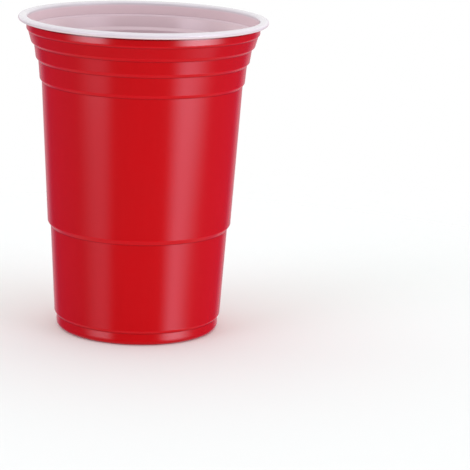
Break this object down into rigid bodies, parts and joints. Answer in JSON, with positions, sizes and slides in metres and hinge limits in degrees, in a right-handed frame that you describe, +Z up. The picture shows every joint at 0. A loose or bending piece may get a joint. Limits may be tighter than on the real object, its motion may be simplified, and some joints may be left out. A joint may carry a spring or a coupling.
{
  "type": "plastic party cup",
  "caption": "Tapered plastic party cup, red outside and white inside, with stepped bands under the lip, a set-back foot and a rolled rim.",
  "frame": {"origin": "centre of the cup's base, at the height of the table it stands on", "axes": "+Z up along the cup's axis, from the foot to the open mouth; the cup is round, so +X and +Y are any two directions across it"},
  "size_m": [0.095, 0.095, 0.121],
  "materials": {
    "cup": "satin red outside; the sheet's other face, inside and over the rim, is satin white"
  },
  "bodies": {
    "root": {"cup": "cup"}
  },
  "joints": []
}
